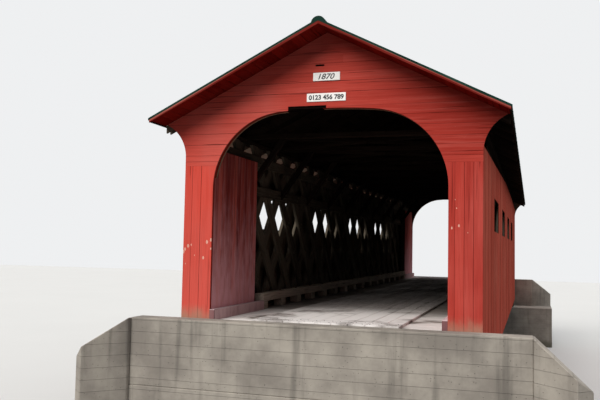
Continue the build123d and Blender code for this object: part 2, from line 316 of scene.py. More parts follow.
def boards(
    name, shapes, look, replaced, grain=None, arris=board_arris, lift=0.0, face=ALONG, joints=()
):
    """Joins sawn shapes to one piece, eases the arrises, and gives each board a grain and a tone.

    Each joint is a direction, a place along it and the share of dirt in it.
    """
    whole = joined(shapes)
    joint_layer = whole.faces.layers.float.new("joint")
    edges = [e for e in whole.edges if e.is_manifold and e.calc_face_angle(0) > sharp_angle]
    bmesh.ops.bevel(whole, geom=edges, offset=arris, segments=1, affect="EDGES", clamp_overlap=True)
    for strip in whole.faces:
        for normal, level, dirt in joints:
            if all(abs(vertex.co.dot(normal) - level) < joint_reach for vertex in strip.verts):
                strip[joint_layer] = dirt
    grain_layer = whole.verts.layers.float_vector.new("board")
    tone_layer = whole.verts.layers.float.new("tone")
    for group in islands(whole):
        way = grain or longest_way(group)
        side = way.cross(face if abs(way.dot(face)) < 0.9 else UP).normalized()
        depth = way.cross(side)
        middle = sum((vertex.co for vertex in group), Vector()) / len(group)
        start = Vector([chance.uniform(0, 40) for _ in range(3)])
        tone = chance.random()
        shift = face * chance.uniform(-lift, lift)
        for vertex in group:
            arm = vertex.co - middle
            vertex[grain_layer] = start + Vector((arm.dot(side), arm.dot(depth), arm.dot(way)))
            vertex[tone_layer] = tone
            vertex.co += shift
    return piece(name, whole, look, replaced)


# Materials
def colour(red, green, blue):
    """A colour written from 0 to 255, as the linear values that a shader takes."""
    levels = [level / 255 for level in (red, green, blue)]
    linear = [level / 12.92 if level <= 0.04045 else ((level + 0.055) / 1.055) ** 2.4 for level in levels]
    return (*linear, 1)


def seen_rays(tree):
    """1 for the rays that show a backdrop to the camera, to mirrors and through glass."""
    path = tree.nodes.new("ShaderNodeLightPath")
    seen = path.outputs["Is Camera Ray"]
    for other in ("Is Glossy Ray", "Is Transmission Ray"):
        either = tree.nodes.new("ShaderNodeMath")
        either.operation = "MAXIMUM"
        tree.links.new(seen, either.inputs[0])
        tree.links.new(path.outputs[other], either.inputs[1])
        seen = either.outputs[0]
    return seen


class Look:
    """A procedural material that is built up one node at a time."""

    def __init__(self, name, roughness, **constants):
        self.material = bpy.data.materials.new(name)
        self.material.use_nodes = True
        self.tree = self.material.node_tree
        self.shader = self.tree.nodes["Principled BSDF"]
        self.shader.inputs["Roughness"].default_value = roughness
        for socket, value in constants.items():
            self.shader.inputs[socket.replace("_", " ")].default_value = value

    def node(self, kind, inputs, output=0, **settings):
        made = self.tree.nodes.new("ShaderNode" + kind)
        for setting, value in settings.items():
            setattr(made, setting, value)
        for place, value in inputs.items():
            if isinstance(value, bpy.types.NodeSocket):
                self.tree.links.new(value, made.inputs[place])
            else:
                made.inputs[place].default_value = value
        return made.outputs[output]

    def attribute(self, name, output):
        return self.node("Attribute", {}, output, attribute_name=name)

    def position(self):
        return self.node("NewGeometry", {}, "Position")

    def stretched(self, place, scales):
        return self.node("VectorMath", {0: place, 1: scales}, operation="MULTIPLY")

    def noise(self, place, scales, detail=4.0, roughness=0.55):
        inputs = {"Scale": 1.0, "Detail": detail, "Roughness": roughness}
        inputs["Vector"] = self.stretched(place, scales)
        return self.node("TexNoise", inputs)

    def band(self, value, start, end, low=0.0, high=1.0):
        """Rises smoothly from low to high while the value goes from start to end."""
        inputs = {"Value": value, "From Min": start, "From Max": end, "To Min": low, "To Max": high}
        return self.node("MapRange", inputs, interpolation_type="SMOOTHSTEP")

    def math(self, way, first, second=0.0):
        return self.node("Math", {0: first, 1: second}, operation=way)

    def mix(self, amount, first, second):
        return self.node("Mix", {0: amount, 6: first, 7: second}, 2, data_type="RGBA")

    def darker(self, amount, body, level):
        """The body colour, multiplied towards a grey level by the amount."""
        grey = (level, level, level, 1)
        return self.node("Mix", {0: amount, 6: body, 7: grey}, 2, data_type="RGBA", blend_type="MULTIPLY")

    def axis(self, vector, name):
        return self.node("SeparateXYZ", {0: vector}, "XYZ".index(name))

    def bump(self, height, distance, normal=None):
        inputs = {"Height": height, "Distance": distance, "Strength": 1.0}
        if normal:
            inputs["Normal"] = normal
        return self.node("Bump", inputs)

    def nearness(self, place, spots):
        """Distance from the nearest spot, in radii of that spot, with each spot taller than wide."""
        nearest = None
        squash = 0.6
        flat = self.stretched(place, (1.0, 1.0, squash))
        for x, y, z, radius in spots:
            gap = self.node("VectorMath", {0: flat, 1: (x, y, z * squash)}, "Value", operation="DISTANCE")
            gap = self.math("DIVIDE", gap, radius)
            nearest = self.math("MINIMUM", nearest, gap) if nearest else gap
        return nearest

    def finish(self, body, normal=None, roughness=None):
        self.tree.links.new(body, self.shader.inputs["Base Color"])
        if normal:
            self.tree.links.new(normal, self.shader.inputs["Normal"])
        if roughness:
            self.tree.links.new(roughness, self.shader.inputs["Roughness"])
        return self.material


def growth(look, board):
    """Fibres, growth rings and drying checks of a board, each from 0 to 1."""
    fibres = look.noise(board, (55.0, 55.0, 2.0), 5.0)
    contour = look.math("MULTIPLY", look.noise(board, (5.0, 5.0, 0.3), 2.0), 70.0)
    rings = look.math("MULTIPLY_ADD", look.math("SINE", contour), 0.5)
    checks = look.band(look.noise(board, (28.0, 28.0, 0.5), 2.0), 0.66, 0.70)
    return fibres, rings, checks


def over_deck(look, place):
    return look.math("SUBTRACT", look.axis(place, "Z"), deck_top)


def painted(
    name,
    bright,
    deep,
    faded,
    bare,
    peel=0.0,
    chips=(),
    dusty_and_lit=None,
    lit_from_left=False,
    wear=1.0,
    splash=None,
    inside=None,
):
    """Old paint on boards: a tone of its own on each board, streaks along the grain, and peeling.

    Chips are places and radii where the bare wood shows, and splash is the colour of mud over
    the deck. The dusty colour is dust over the deck, and also painted bounce light, so the paint is
    paler towards the deck. Where sunned is set, the boards are painted brighter towards the left,
    a painted light from that side. The inside is an axis and a distance, and faces that are nearer
    than it were never painted.
    """
    look = Look(name, 0.7, Specular_IOR_Level=0.0)
    board = look.attribute("board", "Vector")
    place = look.position()
    fibres, rings, checks = growth(look, board)
    tone = look.attribute("tone", "Fac")
    if lit_from_left:
        # Painted light: the boards are painted brighter towards the left, as if lit from that side.
        painted_light_from_left = look.band(look.axis(place, "X"), 2.6, -2.6)
        tone = look.math("ADD", look.math("MULTIPLY", tone, 0.3), look.math("MULTIPLY", painted_light_from_left, 0.7))
    body = look.mix(tone, deep, bright)
    streaks = look.noise(board, (16.0, 16.0, 0.7), 6.0, 0.65)
    body = look.mix(look.band(streaks, 0.45, 0.8, 0.0, 0.75 * wear), body, faded)
    body = look.darker(look.band(streaks, 0.5, 0.25, 0.0, 0.5 * wear), body, 0.55)
    weather = look.noise(place, (0.7, 0.7, 0.45), 3.0)
    body = look.mix(look.band(weather, 0.45, 0.7, 0.0, 0.45), body, faded)
    body = look.darker(look.band(fibres, 0.55, 0.35, 0.0, 0.35 * wear), body, 0.6)
    body = look.darker(look.math("MULTIPLY", checks, 0.3 + 0.7 * wear), body, 0.35)
    broken = look.band(look.noise(place, (1.6, 1.6, 1.6), 2.0), 0.3, 0.6, 0.5, 1.0)
    dirt = look.math("POWER", look.attribute("joint", "Fac"), 0.5)
    body = look.darker(look.math("MULTIPLY", dirt, broken), body, 0.1)
    flakes = look.noise(board, (24.0, 24.0, 7.0), 5.0, 0.6)
    lost = look.band(look.math("ADD", flakes, peel), 0.755, 0.775)
    if chips:
        ragged = look.math("MULTIPLY", look.noise(place, (70.0, 70.0, 70.0), 3.0), 0.9)
        spot = look.math("ADD", look.nearness(place, chips), ragged)
        lost = look.math("MAXIMUM", lost, look.band(spot, 1.5, 1.4))
    wood = look.darker(look.band(fibres, 0.6, 0.4, 0.0, 0.6), bare, 0.6)
    body = look.mix(lost, body, wood)
    # Dust over the deck, and painted bounce light: the paint is paler towards the deck.
    if dusty_and_lit:
        height = over_deck(look, place)
        drift = look.math("MULTIPLY", look.noise(place, (9.0, 9.0, 2.2), 5.0, 0.6), 4.0)
        dust_and_light = look.band(look.math("ADD", height, drift), 4.6, 1.6, 0.0, 0.95)
        body = look.mix(dust_and_light, body, dusty_and_lit)
    if splash:
        height = over_deck(look, place)
        drift = look.math("MULTIPLY", look.noise(place, (6.0, 6.0, 3.0), 4.0), 0.4)
        mud = look.band(look.math("ADD", height, drift), 0.45, 0.12, 0.0, 0.85)
        body = look.mix(mud, body, splash)
    if inside:
        depth = look.math("ABSOLUTE", look.axis(place, inside[0]))
        raw = look.mix(look.band(streaks, 0.3, 0.7), colour(92, 78, 66), colour(134, 116, 100))
        raw = look.darker(look.band(fibres, 0.6, 0.4, 0.0, 0.6), raw, 0.6)
        body = look.mix(look.math("LESS_THAN", depth, inside[1]), body, raw)
    relief = look.math("MULTIPLY_ADD", fibres, 0.5)
    relief = look.math("SUBTRACT", relief, look.math("MULTIPLY", checks, 0.8))
    normal = look.bump(relief, 0.0025)
    normal = look.bump(look.math("SUBTRACT", 1.0, lost), 0.0012, normal)
    return look.finish(body, normal, look.band(lost, 0.0, 1.0, 0.6, 0.88))


def weathered(name, light, dark, dust_and_light=None):
    """Unpainted timber: grain, rings, checks, a tone of its own on each plank, and dust if any.

    The dust lies near the ends of the bridge, and is also painted light that falls in through the
    portals.
    """
    look = Look(name, 0.85, Specular_IOR_Level=0.0)
    board = look.attribute("board", "Vector")
    place = look.position()
    fibres, rings, checks = growth(look, board)
    body = look.mix(look.attribute("tone", "Fac"), dark, light)
    streaks = look.noise(board, (12.0, 12.0, 0.5), 6.0, 0.65)
    body = look.mix(look.band(streaks, 0.35, 0.75, 0.0, 0.8), body, light)
    body = look.darker(look.band(rings, 0.7, 1.0, 0.0, 0.35), body, 0.6)
    body = look.darker(look.band(fibres, 0.5, 0.3, 0.0, 0.6), body, 0.5)
    stains = look.noise(place, (1.1, 1.1, 1.1), 4.0)
    body = look.darker(look.band(stains, 0.5, 0.75, 0.0, 0.6), body, 0.6)
    body = look.darker(checks, body, 0.25)
    # Near the ends: dust, and painted light falling in through the portals.
    if dust_and_light:
        end = look.math("ABSOLUTE", look.axis(place, "Y"))
        dust_and_light_near_ends = look.math("MULTIPLY", look.band(end, portal - 5.0, portal - 0.8), look.band(stains, 0.3, 0.55))
        body = look.mix(look.band(dust_and_light_near_ends, 0.0, 1.0, 0.0, 0.9), body, dust_and_light)
    relief = look.math("MULTIPLY_ADD", fibres, 0.6)
    relief = look.math("SUBTRACT", relief, checks)
    return look.finish(body, look.bump(relief, 0.004))


def concrete():
    """Cast concrete with the lines of its form boards, air holes, and stains that run down."""
    look = Look("cast_concrete", 0.9)
    place = look.position()
    clouds = look.noise(place, (0.9, 0.9, 0.9), 6.0, 0.6)
    body = look.mix(look.band(clouds, 0.35, 0.7), colour(134, 127, 119), colour(176, 168, 157))
    runs = look.noise(place, (5.0, 5.0, 0.35), 5.0)
    body = look.darker(look.band(runs, 0.5, 0.72, 0.0, 0.8), body, 0.55)
    height = look.axis(place, "Z")
    foot = look.math("ADD", height, look.math("MULTIPLY", clouds, 0.5))
    body = look.mix(look.band(foot, 0.75, 0.3, 0.0, 0.6), body, colour(84, 86, 66))
    form_board = 0.21
    course = look.math("FRACT", look.math("DIVIDE", height, form_board))
    from_middle = look.math("ABSOLUTE", look.math("SUBTRACT", course, 0.5))
    seam = look.band(from_middle, 0.46, 0.5)
    body = look.darker(seam, body, 0.75)
    holes = look.node("TexVoronoi", {"Vector": place, "Scale": 14.0}, "Distance")
    pits = look.band(holes, 0.12, 0.06)
    body = look.darker(pits, body, 0.45)
    grit = look.noise(place, (90.0, 90.0, 90.0), 3.0)
    relief = look.math("SUBTRACT", look.math("MULTIPLY", grit, 0.15), look.math("MULTIPLY", pits, 0.8))
    relief = look.math("ADD", relief, look.math("MULTIPLY", seam, 0.6))
    return look.finish(body, look.bump(relief, 0.008))


def roof_paint():
    """Green painted sheet metal, each pan a little different, with streaks that run down the slope."""
    look = Look("roof_paint", 0.45, Specular_IOR_Level=0.12)
    place = look.position()
    pan = look.math("FLOOR", look.math("DIVIDE", look.axis(place, "Y"), seam_pitch))
    tone = look.node("TexWhiteNoise", {"W": pan}, "Value", noise_dimensions="1D")
    body = look.mix(tone, colour(6, 44, 34), colour(11, 56, 45))
    runs = look.noise(place, (0.5, 9.0, 0.5), 6.0)
    body = look.mix(look.band(runs, 0.5, 0.75, 0.0, 0.45), body, colour(34, 76, 64))
    dirt = look.noise(place, (1.4, 1.4, 1.4), 6.0)
    body = look.darker(look.band(dirt, 0.5, 0.75, 0.0, 0.7), body, 0.5)
    waves = look.noise(place, (1.2, 3.0, 1.2), 2.0)
    rough = look.band(dirt, 0.3, 0.7, 0.55, 0.8)
    return look.finish(body, look.bump(waves, 0.01), rough)


def plain_paint(name, body_colour, stain_colour):
    """Smooth paint with a few stains."""
    look = Look(name, 0.5)
    place = look.position()
    stains = look.noise(place, (6.0, 6.0, 3.0), 5.0)
    body = look.mix(look.band(stains, 0.45, 0.75, 0.0, 0.6), body_colour, stain_colour)
    fine = look.noise(place, (60.0, 60.0, 60.0), 3.0)
    return look.finish(body, look.bump(fine, 0.001))


def iron():
    """Iron that is rusty in patches."""
    look = Look("old_iron", 0.6, Metallic=0.7)
    place = look.position()
    rust = look.noise(place, (30.0, 30.0, 30.0), 5.0)
    body = look.mix(look.band(rust, 0.4, 0.6), colour(52, 44, 42), colour(104, 62, 44))
    return look.finish(body, look.bump(rust, 0.002))


# Chips on the legs: place across, height over the deck and radius
chip_places = (
    (-2.741, 1.205, 0.021),
    (-2.709, 1.250, 0.018),
    (-2.648, 1.314, 0.021),
    (-2.586, 1.335, 0.012),
    (-2.693, 0.980, 0.008),
    (-2.512, 1.140, 0.008),
    (-2.334, 1.097, 0.019),
    (-2.265, 1.391, 0.022),
    (-2.184, 1.432, 0.020),
    (-2.184, 1.268, 0.014),
    (2.236, 1.700, 0.013),
    (2.353, 1.739, 0.015),
    (2.500, 1.624, 0.007),
    (2.289, 2.182, 0.006),
    (2.313, 2.035, 0.008),
)
leg_chips = [(x, -portal, deck_top + rise, radius) for x, rise, radius in chip_places]
bare_wood = colour(232, 208, 190)
chipped_wood = colour(238, 176, 158)
gable_paint = painted(
    "gable_paint",
    colour(217, 88, 76),
    colour(168, 55, 46),
    colour(211, 104, 94),
    bare_wood,
    lit_from_left=True,
    wear=0.65,
    inside=("Y", portal - paint_depth),
)
leg_paint = painted(
    "leg_paint",
    colour(229, 85, 71),
    colour(170, 58, 50),
    colour(211, 98, 88),
    chipped_wood,
    peel=0.01,
    chips=leg_chips,
    lit_from_left=True,
    wear=0.65,
    splash=colour(168, 132, 112),
)
side_paint = painted(
    "side_paint",
    colour(210, 96, 80),
    colour(172, 74, 60),
    colour(206, 116, 98),
    bare_wood,
    inside=("X", high("right_siding", "x") - paint_depth),
)
arch_paint = painted("arch_paint", colour(150, 48, 36), colour(124, 36, 26), colour(144, 56, 44), bare_wood)
trim_paint = painted("trim_paint", colour(140, 42, 35), colour(112, 30, 25), colour(146, 58, 50), bare_wood)
soffit_paint = painted(
    "soffit_paint", colour(142, 30, 22), colour(108, 18, 13), colour(146, 46, 37), bare_wood
)
# Pale paint for the tops of the rake boards: weathered paint, and a painted highlight along their top.
rake_strip_highlight_paint = painted(
    "rake_strip_highlight_paint", colour(176, 96, 84), colour(146, 66, 57), colour(190, 126, 114), bare_wood, peel=0.04
)
# The lining and the kick timbers are paler towards the deck: dust, and painted bounce light.
lining_paint = painted(
    "lining_paint",
    colour(208, 96, 84),
    colour(150, 58, 54),
    colour(204, 136, 132),
    colour(200, 172, 160),
    peel=0.02,
    dusty_and_lit=colour(216, 156, 162),
)
kick_paint = painted(
    "kick_paint",
    colour(172, 112, 112),
    colour(130, 80, 80),
    colour(182, 140, 140),
    bare_wood,
    dusty_and_lit=colour(206, 172, 174),
)
kick_end_paint = painted(
    "kick_end_paint", colour(132, 92, 94), colour(104, 70, 74), colour(146, 108, 108), bare_wood, wear=0.6
)
# Pale wood for the tops of the kick timbers: a painted highlight.
kick_top_painted_highlight = weathered("kick_top_painted_highlight", colour(226, 200, 202), colour(190, 160, 162))
truss_wood = weathered("truss_wood", colour(116, 106, 92), colour(68, 61, 53))
rib_wood = weathered("rib_wood", colour(164, 132, 108), colour(128, 100, 80))
eave_wood_painted_light = weathered("eave_wood_painted_light", colour(222, 226, 206), colour(180, 186, 164))
# The roof timbers are much darker than the same wood lower down: painted shade under the roof.
roof_wood_painted_shade = weathered("roof_wood_painted_shade", colour(52, 42, 36), colour(30, 24, 21))
# Near-black wood: painted shade.
shaded_wood = weathered("shaded_wood", colour(24, 16, 13), colour(14, 9, 8))
curb_wood = weathered("curb_wood", colour(200, 184, 168), colour(152, 138, 124))
deck_wood = weathered("deck_wood", colour(142, 133, 126), colour(106, 97, 92), dust_and_light=colour(242, 236, 232))
running_wood = weathered(
    "running_wood", colour(172, 164, 160), colour(136, 128, 124), dust_and_light=colour(248, 243, 240)
)
# Wood under the eaves: painted light on the left, painted shade on the right.
eave_woods_lit_and_shaded = {"left": eave_wood_painted_light, "right": roof_wood_painted_shade}
# Rafter tails: painted light on the left, painted shade on the right.
tail_woods_lit_and_shaded = {"left": truss_wood, "right": roof_wood_painted_shade}
concrete_look = concrete()
roof_look = roof_paint()
iron_look = iron()
plate_look = plain_paint("plate_white", colour(255, 253, 250), colour(242, 236, 228))
number_look = plain_paint("number_black", colour(22, 22, 24), colour(44, 43, 44))


def head_fall(y):
    """How far the heads of the side boards lie below the highest ones."""
    near = near_fall * (near_fall_start - y) / (near_fall_start + portal)
    far = far_fall * (y - far_fall_start) / (portal - far_fall_start)
    return max(near, far, 0.0)


def shade_outward(made, way):
    """Faces that look out from under the eave take the dark roof wood: painted shade under the eave."""
    made.data.materials.append(roof_wood_painted_shade)
    for face in made.data.polygons:
        face.material_index = int(face.normal.x * way > squarely and face.center.z > shaded_level)


# Boarded sides: upright boards, sawn round the windows, with ragged feet and falling heads
def siding(side):
    node = side + "_siding"
    cuts = even_cuts(low(node, "y"), high(node, "y"), siding_board)
    shapes = split([solid(node)], ALONG, cuts)
    foot = low(node, "z")
    head = high(node, "z")
    for shape in shapes:
        rise = chance.uniform(0, ragged_foot)
        for vertex in shape.verts:
            if vertex.co.z < foot + in_face:
                vertex.co.z += rise
            elif vertex.co.z > head - in_face:
                vertex.co.z -= head_fall(vertex.co.y)
    joints = [(ALONG, cut, chance.uniform(*siding_dirt)) for cut in cuts]
    boards(
        node + "_boards",
        shapes,
        side_paint,
        [node],
        UP,
        lift=board_lift,
        face=RIGHT,
        joints=joints,
    )


# Portals: upright leg boards, and level courses above them, each joint with its share of dirt
def courses(shape, levels):
    """Level boards, each with a narrow strip marked off along its joints to hold their dirt."""
    parts = split([shape], UP, [level for level, _ in levels], hair_gap)
    for part in parts:
        for level, _ in levels:
            for edge in (level - joint_line, level + joint_line):
                geometry = part.verts[:] + part.edges[:] + part.faces[:]
                bmesh.ops.bisect_plane(part, geom=geometry, dist=in_cut, plane_co=UP * edge, plane_no=UP)
    return parts


def portal_boards(end):
    legs = end + "_leg_boards"
    shapes = [solid(legs)]
    for place, _ in leg_seams:
        shapes = split(shapes, RIGHT, [place], hair_gap)
    joints = [(RIGHT, place, dirt) for place, dirt in leg_seams]
    boards(
        legs + "_split",
        shapes,
        leg_paint,
        [legs],
        UP,
        frame_arris,
        lift=board_lift,
        joints=joints,
    )
    gable = end + "_gable"
    lower, upper = split([solid(gable)], UP, [upper_courses[0][0]], hair_gap)
    left, right = split([lower], RIGHT, [haunch_joint], hair_gap)
    top = courses(upper, upper_courses[1:])
    top = staggered(top, RIGHT, low(gable, "x"), high(gable, "x"), gable_length, hair_gap)
    shapes = courses(left, left_courses) + courses(right, right_courses) + top
    joints = [(UP, level, dirt) for level, dirt in left_courses + right_courses + upper_courses]
    boards(
        gable + "_courses",
        shapes,
        gable_paint,
        [gable],
        RIGHT,
        lift=course_lift,
        joints=joints,
    )


# Lining of the portals
def lining():
    reveals = "reveal_boards"
    whole = solid(reveals)
    outer = high(reveals, "y")
    inner = min(abs(vertex.co.y) for vertex in whole.verts)
    cuts = even_cuts(inner, outer, reveal_board)
    cuts = sorted([-cut for cut in cuts] + cuts)
    shapes = split([whole], ALONG, cuts)
    joints = [(ALONG, cut, chance.uniform(*reveal_dirt)) for cut in cuts]
    boards(
        "reveal_split",
        shapes,
        lining_paint,
        [reveals],
        UP,
        lift=board_lift,
        face=RIGHT,
        joints=joints,
    )
    kicks = "kick_timbers"
    # The top strip of the kick timbers is pale: a painted highlight where the light catches their top.
    kick, top = split([solid(kicks)], UP, [high(kicks, "z") - kick_line], no_gap)
    near, middle, far = split([kick], ALONG, [kick_cap - portal, portal - kick_cap], no_gap)
    boards("kick_eased", [middle], kick_paint, [kicks], ALONG, trim_arris)
    boards("kick_ends", [near, far], kick_end_paint, (), UP, trim_arris)
    boards("kick_tops", [top], kick_top_painted_highlight, (), ALONG, trim_arris)
    jambs = "jamb_posts"
    boards("jambs_eased", [solid(jambs)], trim_paint, [jambs], UP, plank_arris)


# Deck: planks across the stringers, and running planks along the middle
def deck():
    cuts = even_cuts(low("deck", "y"), high("deck", "y"), deck_plank)
    shapes = split([solid("deck")], ALONG, cuts, deck_gap)
    boards("deck_sawn", shapes, deck_wood, ["deck"], RIGHT, plank_arris, board_lift, UP)
    node = "running_planks"
    cuts = even_cuts(low(node, "x"), high(node, "x"), running_plank, spread=0.03)
    rows = split([solid(node)], RIGHT, cuts, deck_gap)
    shapes = staggered(rows, ALONG, low(node, "y"), high(node, "y"), running_length, deck_gap)
    boards("running_sawn", shapes, running_wood, [node], ALONG, plank_arris)


# Roof boards under the sheets, along the bridge
def roof_boards(side, way):
    node = side + "_roof_boards"
    slope = Vector((way * math.cos(roof_lean), 0, -math.sin(roof_lean)))
    top = Vector((0, 0, high(node, "z"))).dot(slope)
    run = (high(node, "x") - low(node, "x")) / math.cos(roof_lean)
    rows = split([solid(node)], slope, even_cuts(top, top + run, roof_board))
    parts = [split([row], ALONG, [-portal, portal], no_gap) for row in rows]
    eaves = [row for row in rows if min(abs(vertex.co.x) for vertex in row.verts) > eave_start]
    kinds = (("_sawn", False, roof_wood_painted_shade, [node]), ("_eaves", True, eave_woods_lit_and_shaded[side], ()))
    for suffix, outside, look, replaced in kinds:
        chosen = [part[1] for row, part in zip(rows, parts) if (row in eaves) == outside]
        shapes = staggered(chosen, ALONG, -portal, portal, board_length)
        boards(node + suffix, shapes, look, replaced, ALONG)
    overhang = [shape for part in parts for shape in (part[0], part[2])]
    boards(side + "_overhang", overhang, soffit_paint, (), ALONG)


def rafters(side, way):
    """Rafters, whose tails outside the wall are paler on the left: painted light there, and painted shade on
    the right.
    """
    node = side + "_rafters"
    wall = high("right_siding", "x")
    first, second = split([solid(node)], RIGHT, [way * wall], no_gap)
    tails, heads = (first, second) if way < 0 else (second, first)
    boards(node + "_eased", [heads], roof_wood_painted_shade, [node], arris=frame_arris)
    boards(node + "_tails", [tails], tail_woods_lit_and_shaded[side], (), arris=frame_arris)


def arch_rib(end):
    """A rib, deepened inwards, whose edge is painted next to the boards of the portal."""
    node = end + "_arch_rib"
    way = 1 if end == "far" else -1
    front = max(abs(low(node, "y")), abs(high(node, "y")))
    back = min(abs(low(node, "y")), abs(high(node, "y")))
    rib = solid(node)
    for vertex in rib.verts:
        if abs(vertex.co.y) < back + in_face:
            vertex.co.y -= way * rib_reach
    first, second = split([rib], ALONG, [way * (front - rib_painted)], no_gap)
    outer, inner = (first, second) if way < 0 else (second, first)
    halves = (
        boards(node + "_painted", [outer], arch_paint, [node], RIGHT, frame_arris),
        boards(node + "_bare", [inner], rib_wood, (), RIGHT, frame_arris),
    )
    # Faces that look along the bridge take the dark roof wood, and the near rib under the lost strip the
    # near-black wood: painted shade.
    for half in halves:
        half.data.materials.append(roof_wood_painted_shade)
        half.data.materials.append(shaded_wood)
        for face in half.data.polygons:
            if way < 0 and lost_strip < face.center.x < 0:
                face.material_index = 2
            elif abs(face.normal.y) > squarely:
                face.material_index = 1


def rakes():
    """Rake boards, each sawn along into a paler strip at the top, weathered paint with a painted highlight on
    it, and a redder board below it.
    """
    halves = split([solid("rake_boards")], RIGHT, [0.0], no_gap)
    faces = []
    strips = []
    for way, half in zip((-1, 1), halves):
        normal = Vector((way * math.sin(roof_lean), 0, math.cos(roof_lean)))
        top = max(vertex.co.dot(normal) for vertex in half.verts)
        face, strip = split([half], normal, [top - rake_strip], no_gap)
        faces.append(face)
        strips.append(strip)
    boards("rake_faces", faces, trim_paint, ["rake_boards"], arris=trim_arris)
    boards("rake_strips", strips, rake_strip_highlight_paint, (), arris=trim_arris)


# Lattice: the two layers are sawn apart, and each is bare timber
def lattice(side, way):
    node = side + "_lattice"
    layers = split([solid(node)], RIGHT, [way * lattice_middle], layer_gap)
    boards(node + "_planks", layers, truss_wood, [node], arris=plank_arris, face=RIGHT)


def timbers(node, look, grain=None, arris=timber_arris, length=None):
    """Square timbers with eased arrises, and butt joints where one timber can't reach."""
    shapes = [solid(node)]
    if length:
        cuts = even_cuts(low(node, "y"), high(node, "y"), length, spread=0.1)
        shapes = split(shapes, ALONG, cuts)
    return boards(node + "_eased", shapes, look, [node], grain, arris)


def curb(side):
    """Curb timbers, sawn off the blocks that they stand on."""
    node = side + "_curb"
    blocks, rail = split([solid(node)], UP, [low(node, "z") + block_height], layer_gap)
    rails = split([rail], ALONG, even_cuts(low(node, "y"), high(node, "y"), board_length))
    boards(node + "_eased", [blocks] + rails, curb_wood, [node], ALONG, curb_arris)


# Small round things: pegs of the lattice, bolts of the curbs and spikes of the running planks
def round_heads(name, places, way, size, look):
    """Tapered heads that stand on the places and point the given way."""
    radius, height = size
    whole = bmesh.new()
    turn = way.to_track_quat("Z", "Y").to_matrix().to_4x4()
    for place in places:
        tall = height * chance.uniform(0.7, 1.0)
        seat = Matrix.Translation(Vector(place) + way * (tall / 2 - head_seat)) @ turn
        bmesh.ops.create_cone(
            whole, cap_ends=True, segments=8, radius1=radius, radius2=radius * taper, depth=tall, matrix=seat
        )
    grain_layer = whole.verts.layers.float_vector.new("board")
    tone_layer = whole.verts.layers.float.new("tone")
    for vertex in whole.verts:
        vertex[grain_layer] = vertex.co
        vertex[tone_layer] = head_tone
    piece(name, whole, look)


def pegs(side, way):
    """Two pegs at each crossing of the lattice, on the chords where a row has them."""
    places = []
    margin = 0.2
    half_spread = 0.055
    climb = 0.8
    for row in range(rows_up):
        level = truss_foot + chord_half + row * row_height
        face = truss_inside if row in chord_rows else lattice_inside
        offset = bay / 2 if row % 2 else 0
        for number in range(1, bays + 1):
            y = -lattice_end + number * bay + offset + lattice_shift
            if abs(y) > lattice_end - margin:
                continue
            for spread in (-half_spread, half_spread):
                places.append((way * face, y + spread, level + spread * climb))
    round_heads(side + "_pegs", places, RIGHT * -way, peg, truss_wood)


def deck_spikes():
    """Pairs of spikes at the ends of the running planks, in two rows."""
    places = []
    margin = 0.12
    between_rows = 0.25
    half_spread = 0.08
    uneven = 0.02
    end = high("running_planks", "y") - margin
    half = high("running_planks", "x")
    count = round(2 * half / running_plank)
    for number in range(count):
        middle = -half + (number + 0.5) * 2 * half / count
        for y in (-end, -end + between_rows, end - between_rows, end):
            for spread in (-half_spread, half_spread):
                places.append((middle + spread, y + chance.uniform(-uneven, uneven), deck_top))
    round_heads("deck_spikes", places, UP, spike, iron_look)


def curb_bolts():
    places = []
    margin = 0.15
    half = high("left_curb", "y") - margin
    top = high("left_curb", "z")
    middle = (low("right_curb", "x") + high("right_curb", "x")) / 2
    for number in range(bolts_in_row):
        y = -half + number * 2 * half / (bolts_in_row - 1)
        places += [(middle, y, top), (-middle, y, top)]
    round_heads("curb_bolts", places, UP, bolt, iron_look)


# Two plain plates over the near opening, with plain numbers
def plate(name, level, width, text, tall, wide, slant, weight):
    """A plate whose text fills the given shares of its height and width."""
    height = 0.15
    depth = 0.016
    sunk = 0.001
    shape = bmesh.new()
    bmesh.ops.create_cube(shape, size=1, matrix=Matrix.Diagonal((width, depth, height, 1)))
    bmesh.ops.bevel(shape, geom=shape.edges[:], offset=board_arris, segments=2, affect="EDGES")
    bmesh.ops.translate(shape, verts=shape.verts, vec=(0, -portal - depth / 2 + sunk, level))
    piece(name, shape, plate_look)
    letters = bpy.data.curves.new(name + "_text", "FONT")
    letters.body = text
    letters.align_x = "CENTER"
    letters.align_y = "CENTER"
    letters.size = height
    letters.bevel_depth = weight
    letters.bevel_resolution = 0
    letters.shear = slant
    holder = bpy.data.objects.new(name + "_text", letters)
    bpy.context.collection.objects.link(holder)
    bpy.context.view_layer.update()
    mesh = bpy.data.meshes.new_from_object(holder.evaluated_get(bpy.context.evaluated_depsgraph_get()))
    bpy.data.objects.remove(holder)
    digits = bmesh.new()
    digits.from_mesh(mesh)
    bmesh.ops.remove_doubles(digits, verts=digits.verts, dist=weld)
    across = [vertex.co.x for vertex in digits.verts]
    up = [vertex.co.y for vertex in digits.verts]
    left, right = min(across), max(across)
    foot, head = min(up), max(up)
    centre = Matrix.Translation((-(left + right) / 2, -(foot + head) / 2, 0))
    fit = Matrix.Diagonal((width * wide / (right - left), height * tall / (head - foot), 1, 1))
    turn = Matrix.Rotation(math.pi / 2, 4, "X") @ fit @ centre
    front = Matrix.Translation((0, -portal - depth + sunk, level))
    bmesh.ops.transform(digits, verts=digits.verts, matrix=front @ turn)
    piece(name + "_numbers", digits, number_look)


